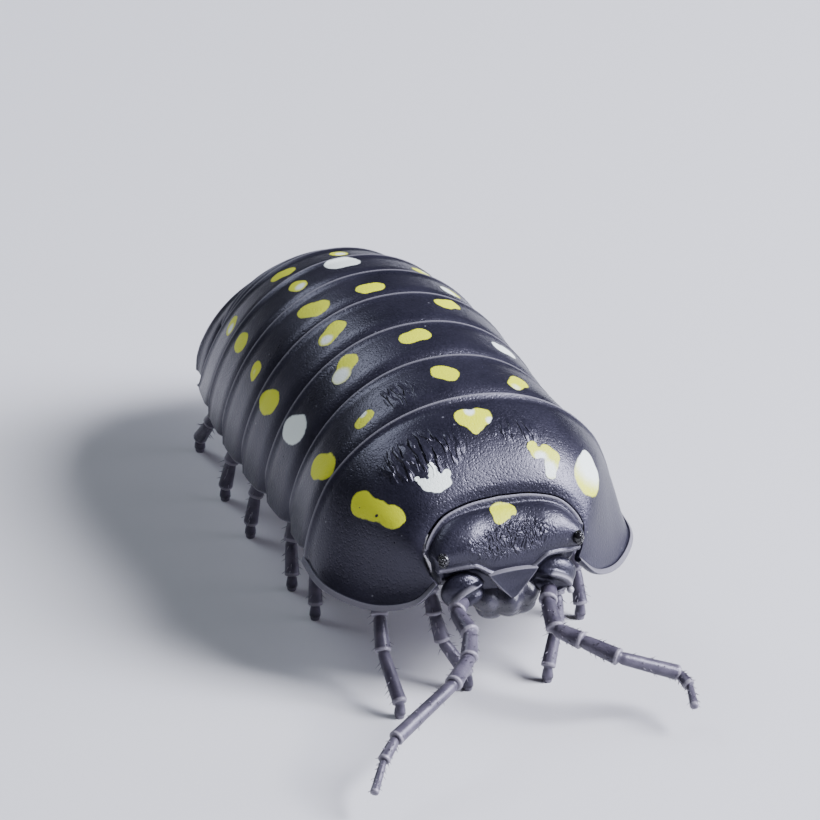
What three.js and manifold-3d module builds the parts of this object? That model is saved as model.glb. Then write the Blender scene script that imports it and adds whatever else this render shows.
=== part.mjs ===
// A pill woodlouse, life size, walking with its antennae reaching forward and down.
// Millimetres, +Z up. The head faces -Y, and the animal's left side is +X.
import * as THREE from "three";
import { mergeVertices } from "three/addons/utils/BufferGeometryUtils.js";
import Module from "manifold-3d";

const wasm = await Module();
wasm.setup();

// Driving dimensions
const GAP = 0.22; // clear space between one plate and the next
const HEM_Z = 2.7; // height of the plates' lower edges over the floor
const PLATE = 0.42; // thickness of a plate where it hangs free at the side
const STEP_DOWN = 0.16; // how far a plate's front sinks below the hind edge of the one before
const RIM_LIFT = 0.05; // the hind edge turns up a little
const BELLY_RISE = 1.05; // the belly lies this far above the hem
const BELLY_Z = HEM_Z + BELLY_RISE;
const BELLY_HALF = 2.3; // half the width of the belly between the flaps
const FOOT_R = 0.17; // half the width of the flat under each foot

// Hind edge of each trunk plate: where it crosses the back, and where it reaches the hem. A hook below 1
// keeps the edge upright down the side and then sweeps its lower corner back.
const TRUNK_PLATES = [
  { name: "pereonite_1", y: -4.88, z: 6.85, halfWidth: 4.42, hemY: -4.92, hemZ: HEM_Z + 0.25 },
  { name: "pereonite_2", y: -2.95, z: 7.12, halfWidth: 4.14, hemY: -3.0, hemZ: HEM_Z },
  { name: "pereonite_3", y: -1.3, z: 7.32, halfWidth: 4.16, hemY: -1.25, hemZ: HEM_Z },
  { name: "pereonite_4", y: 0.32, z: 7.4, halfWidth: 4.18, hemY: 0.45, hemZ: HEM_Z },
  { name: "pereonite_5", y: 1.9, z: 7.33, halfWidth: 4.08, hemY: 2.15, hemZ: HEM_Z },
  { name: "pereonite_6", y: 3.4, z: 7.08, halfWidth: 3.86, hemY: 3.75, hemZ: HEM_Z - 0.03 },
  { name: "pereonite_7", y: 4.75, z: 6.66, halfWidth: 3.45, hemY: 5.75, hemZ: HEM_Z - 0.07, hook: 0.4 },
];
// The first two tail plates are short and have no side flaps; the next three sweep back
const TAIL_PLATES = [
  { name: "pleonite_1", y: 5.2, z: 6.42, halfWidth: 2.85, hemY: 5.52, hemZ: HEM_Z + 1.1 },
  { name: "pleonite_2", y: 5.65, z: 6.12, halfWidth: 2.72, hemY: 5.9, hemZ: HEM_Z + 1.05 },
  { name: "pleonite_3", y: 6.22, z: 5.62, halfWidth: 3.12, hemY: 6.62, hemZ: HEM_Z - 0.12 },
  { name: "pleonite_4", y: 6.74, z: 5.04, halfWidth: 2.86, hemY: 7.18, hemZ: HEM_Z - 0.18 },
  { name: "pleonite_5", y: 7.18, z: 4.4, halfWidth: 2.54, hemY: 7.72, hemZ: HEM_Z - 0.25 },
];

const shellMaterial = new THREE.MeshStandardMaterial({ color: 0x2b2b38, roughness: 0.4, metalness: 0 });
const limbMaterial = new THREE.MeshStandardMaterial({ color: 0x6f6d7c, roughness: 0.5, metalness: 0 });
const eyeMaterial = new THREE.MeshStandardMaterial({ color: 0x08080a, roughness: 0.15, metalness: 0 });
const mouthMaterial = new THREE.MeshStandardMaterial({ color: 0x4a4a58, roughness: 0.5, metalness: 0 });

const woodlouse = new THREE.Group();

const lerp = THREE.MathUtils.lerp;
const smooth = (x) => THREE.MathUtils.smoothstep(x, 0, 1);
const point = (x, y, z) => new THREE.Vector3(x, y, z);
const mix = (a, b, t) => a.clone().lerp(b, t);
const mirrored = (v) => point(-v.x, v.y, v.z);

function addNode(name, geometry, material) {
  const mesh = new THREE.Mesh(geometry, material);
  mesh.name = name;
  woodlouse.add(mesh);
}

function geometryOf(points, triangles) {
  const geometry = new THREE.BufferGeometry().setFromPoints(points);
  geometry.setIndex(triangles);
  return geometry;
}

// A closed body between an outer and an inner surface. Both take s from -1 to 1 across and u from 0 to 1
// along, and the four borders are stitched. The inner surface needs only its two ends along u.
function thickSheet(outer, inner, across, along) {
  const points = [];
  const triangles = [];
  const quad = (a, b, c, d) => triangles.push(a, b, c, a, c, d);
  const grid = (surface, steps) => {
    const rows = [];
    for (let j = 0; j <= steps; j++) {
      const row = [];
      for (let i = 0; i <= across; i++) {
        row.push(points.push(surface((2 * i) / across - 1, j / steps)) - 1);
      }
      rows.push(row);
    }
    return rows;
  };
  const top = grid(outer, along);
  const bottom = grid(inner, 1);
  for (let i = 0; i < across; i++) {
    for (let j = 0; j < along; j++) quad(top[j][i], top[j][i + 1], top[j + 1][i + 1], top[j + 1][i]);
    quad(bottom[0][i + 1], bottom[0][i], bottom[1][i], bottom[1][i + 1]);
    quad(bottom[0][i], bottom[0][i + 1], top[0][i + 1], top[0][i]);
    quad(top[along][i], top[along][i + 1], bottom[1][i + 1], bottom[1][i]);
  }
  const half = Math.floor(along / 2);
  for (let j = 0; j < along; j++) {
    const left = bottom[j < half ? 0 : 1][0];
    const right = bottom[j < half ? 0 : 1][across];
    triangles.push(left, top[j][0], top[j + 1][0]);
    triangles.push(right, top[j + 1][across], top[j][across]);
  }
  triangles.push(bottom[0][0], top[half][0], bottom[1][0]);
  triangles.push(bottom[1][across], top[half][across], bottom[0][across]);
  return geometryOf(points, triangles);
}

// Rings of equal count joined in turn, with a fan over each end
function loft(rings) {
  const points = [];
  const triangles = [];
  const count = rings[0].length;
  for (const ring of rings) points.push(...ring);
  for (let k = 0; k < rings.length - 1; k++) {
    for (let i = 0; i < count; i++) {
      const a = k * count + i;
      const b = k * count + ((i + 1) % count);
      triangles.push(a, b, b + count, a, b + count, a + count);
    }
  }
  for (const [k, turn] of [[0, true], [rings.length - 1, false]]) {
    const centre = rings[k].reduce((sum, p) => sum.add(p), point(0, 0, 0)).divideScalar(count);
    const hub = points.push(centre) - 1;
    for (let i = 0; i < count; i++) {
      const a = k * count + i;
      const b = k * count + ((i + 1) % count);
      triangles.push(...(turn ? [hub, b, a] : [hub, a, b]));
    }
  }
  return geometryOf(points, triangles);
}

function solidOf(geometry) {
  const bare = geometry.index ? geometry.clone() : geometry;
  bare.deleteAttribute("normal");
  bare.deleteAttribute("uv");
  const merged = mergeVertices(bare, 1e-4);
  const solid = new wasm.Manifold(
    new wasm.Mesh({
      numProp: 3,
      vertProperties: merged.attributes.position.array,
      triVerts: new Uint32Array(merged.index.array),
    }),
  );
  return solid;
}

function geometryOfSolid(solid) {
  const largest = solid.decompose().reduce((a, b) => (a.volume() > b.volume() ? a : b));
  const mesh = largest.getMesh();
  const geometry = new THREE.BufferGeometry();
  geometry.setAttribute("position", new THREE.BufferAttribute(new Float32Array(mesh.vertProperties), 3));
  geometry.setIndex(new THREE.BufferAttribute(new Uint32Array(mesh.triVerts), 1));
  return geometry;
}

function fused(geometries) {
  return geometries.map(solidOf).reduce((a, b) => a.add(b));
}

// A rounded lump with its own half sizes
function lump(centre, halfSize, around = 10, down = 6) {
  const geometry = new THREE.SphereGeometry(1, around, down);
  geometry.scale(halfSize.x, halfSize.y, halfSize.z);
  geometry.translate(centre.x, centre.y, centre.z);
  return geometry;
}

// A limb swept through its stations, each a centre and a radius. The first and last rings can be held level.
const LIMB_SIDES = 8;
function sweep(stations, levelEnds) {
  const last = stations.length - 1;
  let side = null;
  const rings = stations.map(({ at, radius }, k) => {
    const before = stations[Math.max(k - 1, 0)].at;
    const after = stations[Math.min(k + 1, last)].at;
    const along = after.clone().sub(before).normalize();
    if (levelEnds && (k === 0 || k === last)) along.set(0, 0, -1);
    side = side ?? point(along.z, 0, -along.x);
    side = side.clone().addScaledVector(along, -side.dot(along)).normalize();
    const other = along.clone().cross(side);
    const ring = [];
    for (let i = 0; i < LIMB_SIDES; i++) {
      const turn = ((i + 0.5) / LIMB_SIDES) * 2 * Math.PI;
      const rim = at.clone().addScaledVector(side, radius * Math.cos(turn));
      ring.push(rim.addScaledVector(other, radius * Math.sin(turn)));
    }
    return ring;
  });
  return loft(rings);
}

// Stations of a jointed limb: each article narrows to a neck at the joints and is fullest past its middle
const NECK = 0.82;
function jointed(joints, radii, spare = 0) {
  const stations = [];
  radii.forEach((radius, k) => {
    const start = joints[k];
    const end = joints[k + 1];
    const neck = k === 0 ? radius : Math.min(radius, radii[k - 1]);
    stations.push({ at: start, radius: neck * NECK + spare });
    stations.push({ at: mix(start, end, 0.28), radius: radius * 0.95 + spare });
    stations.push({ at: mix(start, end, 0.74), radius: radius + spare });
  });
  return stations;
}

// Back plates

const ARCH_POWER = 0.94; // a little fuller than an ellipse
const HEM_STAND = 0.1; // the side flaps stand this much more upright near the hem

// The arch of one plate edge at s, which runs from the animal's right hem to its left one
function arch(edge, s, sink = 0) {
  const angle = (Math.abs(s) * Math.PI) / 2;
  const out = Math.pow(Math.sin(angle), ARCH_POWER) || 0;
  const up = Math.pow(Math.max(Math.cos(angle), 0), ARCH_POWER + HEM_STAND);
  const width = edge.halfWidth - sink * Math.abs(Math.sin(angle));
  return point(
    Math.sign(s) * width * out,
    lerp(edge.hemY, edge.y, Math.pow(up, edge.hook ?? 1)),
    lerp(edge.hemZ, edge.z, up) - sink * up,
  );
}

// Underside of the body below one edge: level across the belly, then down the inside of each flap to the hem
const FLAP_SHARE = 0.3; // share of s that the inside of a flap takes
const BELLY_UP = 0.8; // the belly edge keeps this much of the back edge's place along the body
const INNER_EASE = 0.4; // share of the flap's inside that curves rather than falling straight
function underside(edge, s, bellyHalf, bellyZ) {
  const across = 1 - FLAP_SHARE;
  const size = Math.abs(s);
  const turn = Math.sign(s);
  const bellyY = lerp(edge.hemY, edge.y, Math.pow(BELLY_UP, edge.hook ?? 1));
  if (size <= across) return point((turn * bellyHalf * size) / across, bellyY, bellyZ);
  const share = (size - across) / FLAP_SHARE;
  const drop = lerp(share, smooth(share), INNER_EASE);
  return point(
    turn * lerp(bellyHalf, edge.halfWidth - PLATE, drop),
    lerp(bellyY, arch(edge, s).y, drop),
    lerp(bellyZ, edge.hemZ, drop),
  );
}

// The edge that a plate starts from lies a gap behind the hind edge of the plate before
function startAfter(previous, next) {
  const share = GAP / (next.y - previous.y);
  return { ...between(previous, next, share), y: previous.y + GAP, hemY: previous.hemY + GAP };
}

function between(a, b, u) {
  return {
    y: lerp(a.y, b.y, u),
    z: lerp(a.z, b.z, u),
    halfWidth: lerp(a.halfWidth, b.halfWidth, u),
    hemY: lerp(a.hemY, b.hemY, u),
    hemZ: lerp(a.hemZ, b.hemZ, u),
    hook: lerp(a.hook ?? 1, b.hook ?? 1, u),
  };
}

// The flap narrows to a rounded lower corner: its front and hind edges draw together towards the hem
const TAPER_FROM = 0.72; // place down the side where a flap starts to narrow
const CORNER_AT = 0.62; // place between the front and hind edges that the lower corner draws towards
function flapTaper(u, s, amount) {
  const low = smooth((Math.abs(s) - TAPER_FROM) / (1 - TAPER_FROM));
  return lerp(u, CORNER_AT + (u - 0.5) * (1 - amount), low);
}

const ACROSS = 28;
const ALONG = 4;
// How far the back of a plate lies below its hind edge's own arch, from its front to its raised rim
const PROFILE = [STEP_DOWN, STEP_DOWN * 0.35, 0.02, 0, -RIM_LIFT];
function sinkAt(u) {
  const at = u * (PROFILE.length - 1);
  const low = Math.min(Math.floor(at), PROFILE.length - 2);
  return lerp(PROFILE[low], PROFILE[low + 1], at - low);
}

function ringPlate(start, edge, { bellyHalf, bellyZ, taper, across }) {
  const outer = (s, u) => arch(between(start, edge, flapTaper(u, s, taper)), s, sinkAt(u));
  const inner = (s, u) => {
    const flap = Math.abs(s) > 1 - FLAP_SHARE ? flapTaper(u, s, taper) : u;
    return underside(between(start, edge, flap), s, bellyHalf, bellyZ);
  };
  return thickSheet(outer, inner, across, ALONG);
}

// First plate: its front edge wraps round the back and sides of the head, down to a lobe at each cheek
const FIRST = TRUNK_PLATES[0];
const CHEEK = point(2.02, -8.1, 3.4); // lower inner tip of the lobe
const COLLAR = new THREE.CatmullRomCurve3(
  [
    point(0, -7.3, 5.25),
    point(0.95, -7.36, 5.18),
    point(1.75, -7.5, 4.92),
    point(2.25, -7.74, 4.3),
    point(2.26, -7.95, 3.78),
    CHEEK,
  ],
  false,
  "centripetal",
);
const LOBE_EDGE = new THREE.CatmullRomCurve3(
  [
    CHEEK,
    point(2.55, -8.02, HEM_Z + 0.2),
    point(3.45, -7.4, HEM_Z - 0.1),
    point(4.34, -6.25, HEM_Z + 0.05),
    point(FIRST.halfWidth, FIRST.hemY, FIRST.hemZ),
  ],
  false,
  "centripetal",
);
const SHOULDER_SWELL = 0.5; // how far the plate bulges past a straight line beside the head
const NAPE_SWELL = 0.33; // and behind it
const SWELL_TO = 0.7; // share of the way round the collar where the bulge is fullest
const LOBE_FROM = 0.62; // and where the plate starts to turn into the lobe
const CREST_SHIFT = 0.78; // below 1 the bulge is fullest ahead of the plate's middle
const FRONT_BELLY = { half: 1.75, y: -6.9, z: BELLY_Z + 0.3 };

function firstOuter(s, u) {
  const size = Math.abs(s);
  const chord = mix(COLLAR.getPoint(size), arch(FIRST, size, -RIM_LIFT * u), u);
  const outward = point(size * 0.9, -0.1, 0.9).normalize();
  const fade = 1 - smooth((size - SWELL_TO) / (1 - SWELL_TO));
  const swell = lerp(NAPE_SWELL, SHOULDER_SWELL, smooth(size / SWELL_TO)) * fade;
  const body = chord.addScaledVector(outward, Math.sin(Math.PI * Math.pow(u, CREST_SHIFT)) * swell);
  const place = mix(body, LOBE_EDGE.getPoint(u), smooth((size - LOBE_FROM) / (1 - LOBE_FROM)));
  return s < 0 ? mirrored(place) : place;
}

function firstInner(s, u) {
  const size = Math.abs(s);
  const across = 1 - FLAP_SHARE;
  if (u > 0.5) return underside(FIRST, s, BELLY_HALF, BELLY_Z);
  const belly = point((FRONT_BELLY.half * Math.min(size, across)) / across, FRONT_BELLY.y, FRONT_BELLY.z);
  const lip = CHEEK.clone().add(point(0.3, PLATE, 0.05));
  const place = mix(belly, lip, Math.max(0, (size - across) / FLAP_SHARE));
  return s < 0 ? mirrored(place) : place;
}

addNode("pereonite_1", thickSheet(firstOuter, firstInner, 32, 8), shellMaterial);

const TRUNK_TAPER = [0.34, 0.12]; // the flaps narrow less from front to rear
TRUNK_PLATES.slice(1).forEach((edge, i) => {
  const taper = lerp(TRUNK_TAPER[0], TRUNK_TAPER[1], i / (TRUNK_PLATES.length - 2));
  const shape = { bellyHalf: BELLY_HALF, bellyZ: BELLY_Z, taper, across: ACROSS };
  addNode(edge.name, ringPlate(startAfter(TRUNK_PLATES[i], edge), edge, shape), shellMaterial);
});

const LAST_TRUNK = TRUNK_PLATES[TRUNK_PLATES.length - 1];
const NARROW = 2; // the tail plates that have no flaps
const TAIL_BELLY_HALF = [1.9, 1.3]; // half the belly's width under the first and last tail plate
const FIRST_FLAP = { halfWidth: 3.22, hemY: LAST_TRUNK.hemY + GAP + 0.1, hemZ: HEM_Z - 0.1, hook: 1.7 };
TAIL_PLATES.forEach((edge, i) => {
  const before = i === 0 ? LAST_TRUNK : TAIL_PLATES[i - 1];
  const start = startAfter(before, edge);
  if (i < NARROW) {
    // A plate without flaps is as wide at its front as behind
    Object.assign(start, { halfWidth: edge.halfWidth, hemZ: edge.hemZ, hook: 1 });
    if (i === 0) start.hemY = edge.hemY - (edge.y - start.y);
  } else if (i === NARROW) {
    // The first flap reaches down behind the hook of the last trunk plate
    Object.assign(start, FIRST_FLAP);
  }
  const shape = {
    bellyHalf: lerp(TAIL_BELLY_HALF[0], TAIL_BELLY_HALF[1], i / (TAIL_PLATES.length - 1)),
    bellyZ: i < NARROW ? BELLY_Z + 0.25 : BELLY_Z - 0.2,
    taper: i < NARROW ? 0.05 : 0.25,
    across: 24,
  };
  addNode(edge.name, ringPlate(start, edge, shape), shellMaterial);
});

// Tail end: a blunt triangle between two flat side plates
const TAIL_BASE = { half: 1.32, y: 7.34, z: 4.18 };
const TAIL_TIP = { half: 0.62, y: 8.0, z: 2.95 };
const TAIL_CROWN = 0.16; // the tail end is domed by this much
const TAIL_THICK = 0.26;

const TAIL_EDGE = { back: 0.12, drop: 0.22 }; // its side edges bend back and down by these
const TAIL_INSIDE = { y: 7.5, z: 3.72, share: 0.85 }; // front and height of its inner face, and how narrow

// Half the tail end's width from its base to its tip, which is rounded over the last quarter
function telsonHalf(u) {
  const rounded = 1 - 0.3 * smooth((u - 0.75) / 0.25);
  return lerp(TAIL_BASE.half, TAIL_TIP.half, Math.pow(u, 0.8)) * rounded;
}

function telsonOuter(s, u) {
  const crown = TAIL_CROWN * (1 - s * s);
  return point(
    telsonHalf(u) * s,
    lerp(TAIL_BASE.y, TAIL_TIP.y, u) + crown + TAIL_EDGE.back * s * s,
    lerp(TAIL_BASE.z, TAIL_TIP.z, u) + crown * 0.5 - TAIL_EDGE.drop * s * s,
  );
}

function telsonInner(s, u) {
  const { y, z, share } = TAIL_INSIDE;
  return point(telsonHalf(u) * s * share, lerp(y, TAIL_TIP.y - TAIL_THICK, u), lerp(z, TAIL_TIP.z, u));
}

addNode("telson", thickSheet(telsonOuter, telsonInner, 10, 5), shellMaterial);

// Side plates of the tail end, from their upper to their lower edge
const UROPOD_TOP = { x: 1.78, y: 7.9, z: 3.36 };
const UROPOD_FOOT = { x: 2.02, y: 8.1, z: 2.42 };
const UROPOD_THICK = 0.26;
const UROPOD_CORNER = 0.16; // its two lower corners are rounded by this
[["left", 1], ["right", -1]].forEach(([name, side]) => {
  const outer = (s, u) => {
    const share = (side * s + 1) / 2;
    const round = UROPOD_CORNER * smooth((u - 0.6) / 0.4) * Math.abs(2 * share - 1);
    const inside = telsonHalf(u) + GAP + 0.06;
    const outside = lerp(UROPOD_TOP.x, UROPOD_FOOT.x, u) - round;
    const z = lerp(UROPOD_TOP.z, UROPOD_FOOT.z, u) + round;
    return point(side * lerp(inside, outside, share), lerp(UROPOD_TOP.y, UROPOD_FOOT.y, u), z);
  };
  const inner = (s, u) => outer(s, u).add(point(0, -UROPOD_THICK, 0));
  addNode(`uropod_${name}`, thickSheet(outer, inner, 5, 4), shellMaterial);
});

// Feelers: lengths of the articles from the base, with each one's turn and slope in degrees. The turn is
// outwards from straight ahead.
const FEELER_RADII = [0.3, 0.3, 0.29, 0.28, 0.25, 0.2, 0.14];
const FEELERS = [
  {
    name: "antenna_left",
    side: 1,
    base: point(0.98, -8.5, 3.12),
    articles: [[0.55, -18, -58], [0.84, -5, -32], [0.8, 40, -9], [1.08, 41, -10], [1.75, 83, -22],
      [0.52, 14, -17], [0.76, -14, -16]],
  },
  {
    name: "antenna_right",
    side: -1,
    base: point(-1.2, -8.45, 3.1),
    articles: [[0.59, 70, -40], [0.88, -4, -14], [0.83, 25, -21], [1.18, 43, -7], [2.45, 60, -13],
      [0.76, 46, -20], [1.02, 36, -25]],
  },
];

function feelerJoints({ side, base, articles }) {
  const joints = [base];
  for (const [length, turn, slope] of articles) {
    const yaw = THREE.MathUtils.degToRad(turn) * side;
    const pitch = THREE.MathUtils.degToRad(slope);
    const step = point(Math.sin(yaw) * Math.cos(pitch), -Math.cos(yaw) * Math.cos(pitch), Math.sin(pitch));
    joints.push(joints[joints.length - 1].clone().addScaledVector(step, length));
  }
  return joints;
}

function feeler(spec, spare = 0) {
  const joints = feelerJoints(spec);
  const stations = jointed(joints, FEELER_RADII, spare);
  stations.push({ at: joints[joints.length - 1], radius: 0.07 + spare });
  return sweep(stations, false);
}

for (const spec of FEELERS) addNode(spec.name, feeler(spec), limbMaterial);

// Head: stations across it, each a closed outline from the raised rim over the crown to the front edge, then
// down the face and back under the chin
const HEAD_CENTRE = point(0, -8.0, 3.9);
const HEAD_HALF = 2.05;
const HEAD_STATIONS = 15;
const HEAD_SPAN = 0.62; // share of the collar that the head fills
const RIM_INSET = 0.2;
const CROWN = [[0.1, 0.1], [0.35, 0.17], [0.62, 0.17], [0.86, 0.09]]; // place and swell, rim to front edge

function headRing(c) {
  const size = Math.abs(c);
  const place = COLLAR.getPoint(size);
  const rim = place.clone().addScaledVector(HEAD_CENTRE.clone().sub(place).normalize(), RIM_INSET);
  const a = Math.pow(Math.min(rim.x / HEAD_HALF, 1), 2);
  const edge = point(rim.x * 0.92, lerp(-8.42, -8.2, a), lerp(3.45, 3.75, a));
  const under = rim.x * lerp(0.95, 0.84, a);
  const ring = [point(rim.x, rim.y + 0.07, rim.z - 0.24), rim];
  for (const [t, swell] of CROWN) ring.push(mix(rim, edge, t).add(point(0, -0.85 * swell, 0.53 * swell)));
  ring.push(edge);
  ring.push(point(under, edge.y + 0.12, edge.z - 0.12));
  ring.push(point(under, edge.y + 0.12, lerp(3.05, 3.45, a)));
  ring.push(point(under, edge.y + 0.22, lerp(2.72, 3.4, a)));
  ring.push(point(under, edge.y + 0.6, lerp(2.55, 3.2, a)));
  ring.push(point(rim.x * 0.8, -7.3, lerp(2.9, 3.3, a)));
  ring.push(point(rim.x * 0.78, -7.1, 3.75));
  return c < 0 ? ring.map(mirrored) : ring;
}

const headRings = [];
for (let k = 0; k < HEAD_STATIONS; k++) {
  const c = lerp(-HEAD_SPAN, HEAD_SPAN, k / (HEAD_STATIONS - 1));
  headRings.push(headRing(c));
}

// Raised triangle in the middle of the face, point down
const TRIANGLE = { half: 0.68, top: 3.46, tip: 2.72, tipHalf: 0.08, front: -8.28, thick: 0.34 };
function faceTriangle() {
  const { half, top, tip, tipHalf, front, thick } = TRIANGLE;
  const shape = new THREE.Shape();
  shape.moveTo(-tipHalf, tip);
  shape.lineTo(tipHalf, tip);
  shape.quadraticCurveTo(half * 0.6, lerp(tip, top, 0.3), half, top);
  shape.quadraticCurveTo(0, top + 0.1, -half, top);
  shape.quadraticCurveTo(-half * 0.6, lerp(tip, top, 0.3), -tipHalf, tip);
  const slab = new THREE.ExtrudeGeometry(shape, { depth: thick, bevelEnabled: false, curveSegments: 4 });
  slab.rotateX(Math.PI / 2);
  slab.translate(0, front, 0);
  return slab;
}

const EYE = { centre: point(1.9, -8.06, 4.14), half: point(0.2, 0.24, 0.26) };
const EYE_GAP = 0.08; // the eyes sit closer in their sockets than the plates do to each other
const FACE_LOBE = { centre: point(1.32, -8.42, 2.95), half: point(0.5, 0.27, 0.36) };

const onSide = (v, side) => point(v.x * side, v.y, v.z);
const bothSides = (centre, half) => [1, -1].map((side) => lump(onSide(centre, side), half));
const eyes = [1, -1].map((side) => lump(onSide(EYE.centre, side), EYE.half, 12, 8));
const sockets = bothSides(EYE.centre, EYE.half.clone().addScalar(EYE_GAP));
const feelerSockets = FEELERS.map((spec) => feeler(spec, GAP * 0.7));

const headSolid = fused([loft(headRings), faceTriangle(), ...bothSides(FACE_LOBE.centre, FACE_LOBE.half)])
  .subtract(fused([...sockets, ...feelerSockets]));
addNode("head", geometryOfSolid(headSolid), shellMaterial);
addNode("eye_left", eyes[0], eyeMaterial);
addNode("eye_right", eyes[1], eyeMaterial);

// Mouthparts: lip, jaws and the pair of plates that covers them from below
const MOUTH_LUMPS = [
  { centre: point(0, -8.3, 2.35), half: point(0.5, 0.28, 0.34) },
  { centre: point(0.42, -8.2, 2.3), half: point(0.36, 0.32, 0.34) },
  { centre: point(0.32, -7.75, 2.15), half: point(0.38, 0.5, 0.3) },
];
// The head is taken away where it stands and again a gap lower, further back and lower in front
const CLEARANCE = [point(0, 0, 0), point(0, 0, -GAP), point(0, GAP, 0), point(0, -GAP * 0.5, -GAP * 0.8)];
let mouthSolid = fused(MOUTH_LUMPS.flatMap(({ centre, half }) => bothSides(centre, half)));
for (const shift of CLEARANCE) mouthSolid = mouthSolid.subtract(headSolid.translate(shift.toArray()));
addNode("mouthparts", geometryOfSolid(mouthSolid), mouthMaterial);

// Legs, in pairs from the front. Each has the place under the belly that it hangs from, its knee and its
// foot; the two sides are at different points of the step.
const ROOT_X = 1.75;
const KNEE_Z = 2.5;
const HIP_OUT = 0.12; // the hip lies this far outside the root
const HIP_DROP = 0.4; // and this far below it
const BOW = 0.16; // the shin bows outwards by this
const CLAW_Z = 0.42; // height of the last joint
const FOOT_Z = 0.12; // height of the flat under the claw
const LEG_RADII = [0.36, 0.34, 0.29, 0.27, 0.25, 0.21];
const LEG_ROWS = [
  { rootY: -6.2, left: [[1.75, -7.25], [1.15, -8.4]], right: [[-1.75, -7.2], [-1.0, -8.1]] },
  { rootY: -4.1, left: [[2.95, -4.9], [3.3, -5.6]], right: [[-2.95, -6.55], [-3.22, -8.85]] },
  { rootY: -2.15, left: [[2.95, -3.1], [3.45, -4.0]], right: [[-2.95, -2.8], [-3.4, -3.3]] },
  { rootY: -0.5, left: [[2.95, -0.7], [3.4, -1.0]], right: [[-2.95, -1.0], [-3.4, -1.6]] },
  { rootY: 1.15, left: [[2.95, 1.5], [3.4, 1.75]], right: [[-2.95, 1.3], [-3.4, 1.5]] },
  { rootY: 2.7, left: [[2.9, 3.3], [3.3, 4.2]], right: [[-2.9, 3.2], [-3.3, 3.7]] },
  { rootY: 4.0, left: [[2.7, 4.9], [2.95, 6.2]], right: [[-2.7, 5.0], [-2.95, 6.6]] },
];

function leg(rootY, [knee, foot], rootZ) {
  const side = Math.sign(foot[0]);
  const top = point(side * ROOT_X, rootY, rootZ);
  const bend = point(knee[0], knee[1], KNEE_Z);
  const sole = point(foot[0], foot[1], 0);
  const hip = point(side * (ROOT_X + HIP_OUT), lerp(rootY, knee[1], 0.12), rootZ - HIP_DROP);
  const bow = (share) => mix(bend, sole, share).add(point(side * BOW * Math.sin(Math.PI * share), 0, 0));
  const claw = sole.clone().add(point(0, 0, CLAW_Z));
  const joints = [top, hip, bend, bow(0.2), bow(0.48), claw, sole];
  const stations = jointed(joints, LEG_RADII);
  stations[stations.length - 1] = { at: point(sole.x, sole.y, FOOT_Z), radius: FOOT_R };
  stations.push({ at: sole, radius: FOOT_R });
  return sweep(stations, true);
}

LEG_ROWS.forEach((row, i) => {
  const rootZ = BELLY_Z - GAP + (i === 0 ? 0.15 : 0);
  for (const name of ["left", "right"]) {
    addNode(`pereopod_${name}_${i + 1}`, leg(row.rootY, row[name], rootZ), limbMaterial);
  }
});

// The datum is the middle of the bounding box at floor level
const box = new THREE.Box3().setFromObject(woodlouse);
const datum = box.getCenter(point(0, 0, 0)).setZ(box.min.z);
for (const mesh of woodlouse.children) mesh.geometry.translate(-datum.x, -datum.y, -datum.z);

woodlouse.updateMatrixWorld(true);

export default woodlouse;
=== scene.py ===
# %% [markdown]
# A pill woodlouse, standing, with its feelers reaching forward and down.
#
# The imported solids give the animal's frame: where each plate, leg and feeler is. This script dresses
# them. Every smooth piece is drawn in the same millimetres as the solids, and is moved into the frame once,
# when it is done.

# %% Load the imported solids
import math
import random

import bmesh
import bpy
from mathutils import Matrix, Vector


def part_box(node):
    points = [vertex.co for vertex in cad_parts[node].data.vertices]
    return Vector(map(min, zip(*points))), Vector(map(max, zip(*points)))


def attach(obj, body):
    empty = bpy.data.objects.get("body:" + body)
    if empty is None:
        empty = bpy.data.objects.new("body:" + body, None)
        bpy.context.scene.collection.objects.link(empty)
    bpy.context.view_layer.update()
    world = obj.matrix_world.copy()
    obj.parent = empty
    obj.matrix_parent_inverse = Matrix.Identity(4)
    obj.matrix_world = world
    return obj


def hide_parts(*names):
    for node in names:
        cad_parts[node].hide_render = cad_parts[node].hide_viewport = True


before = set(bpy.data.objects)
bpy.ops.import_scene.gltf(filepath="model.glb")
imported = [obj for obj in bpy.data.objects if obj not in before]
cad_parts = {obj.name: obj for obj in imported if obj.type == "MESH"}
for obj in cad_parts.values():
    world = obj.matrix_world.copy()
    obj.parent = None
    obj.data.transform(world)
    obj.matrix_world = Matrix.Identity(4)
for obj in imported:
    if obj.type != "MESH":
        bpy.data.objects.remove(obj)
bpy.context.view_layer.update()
print("solids", len(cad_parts))

# %% [markdown]
# The drawing's own origin is on the floor under the middle of the body. The frame's is on the floor too, but
# under the middle of the whole box, feelers included. The left eye's centre is known in both, so the shift
# between them is read from it.

# %% Find the shift from the drawing to the frame
MM = 0.001
EYE_CENTRE = Vector((1.9, -8.06, 4.14))
EYE_HALF = Vector((0.2, 0.24, 0.26))
eye_low, eye_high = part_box("eye_left")
DATUM = (eye_low + eye_high) / (2 * MM) - EYE_CENTRE
TO_FRAME = Matrix.Scale(MM, 4) @ Matrix.Translation(DATUM)
print("drawing to frame, mm", [round(c, 3) for c in DATUM])


# %% [markdown]
# A few small helpers for blending numbers and points. A smooth step eases in and out, which suits a grown
# form better than a straight ramp.

# %% Blending helpers
def lerp(a, b, t):
    return a + (b - a) * t


def ease(x):
    x = min(max(x, 0.0), 1.0)
    return x * x * (3 - 2 * x)


def vec(x, y, z):
    return Vector((x, y, z))


def flipped(p):
    return vec(-p.x, p.y, p.z)


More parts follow.
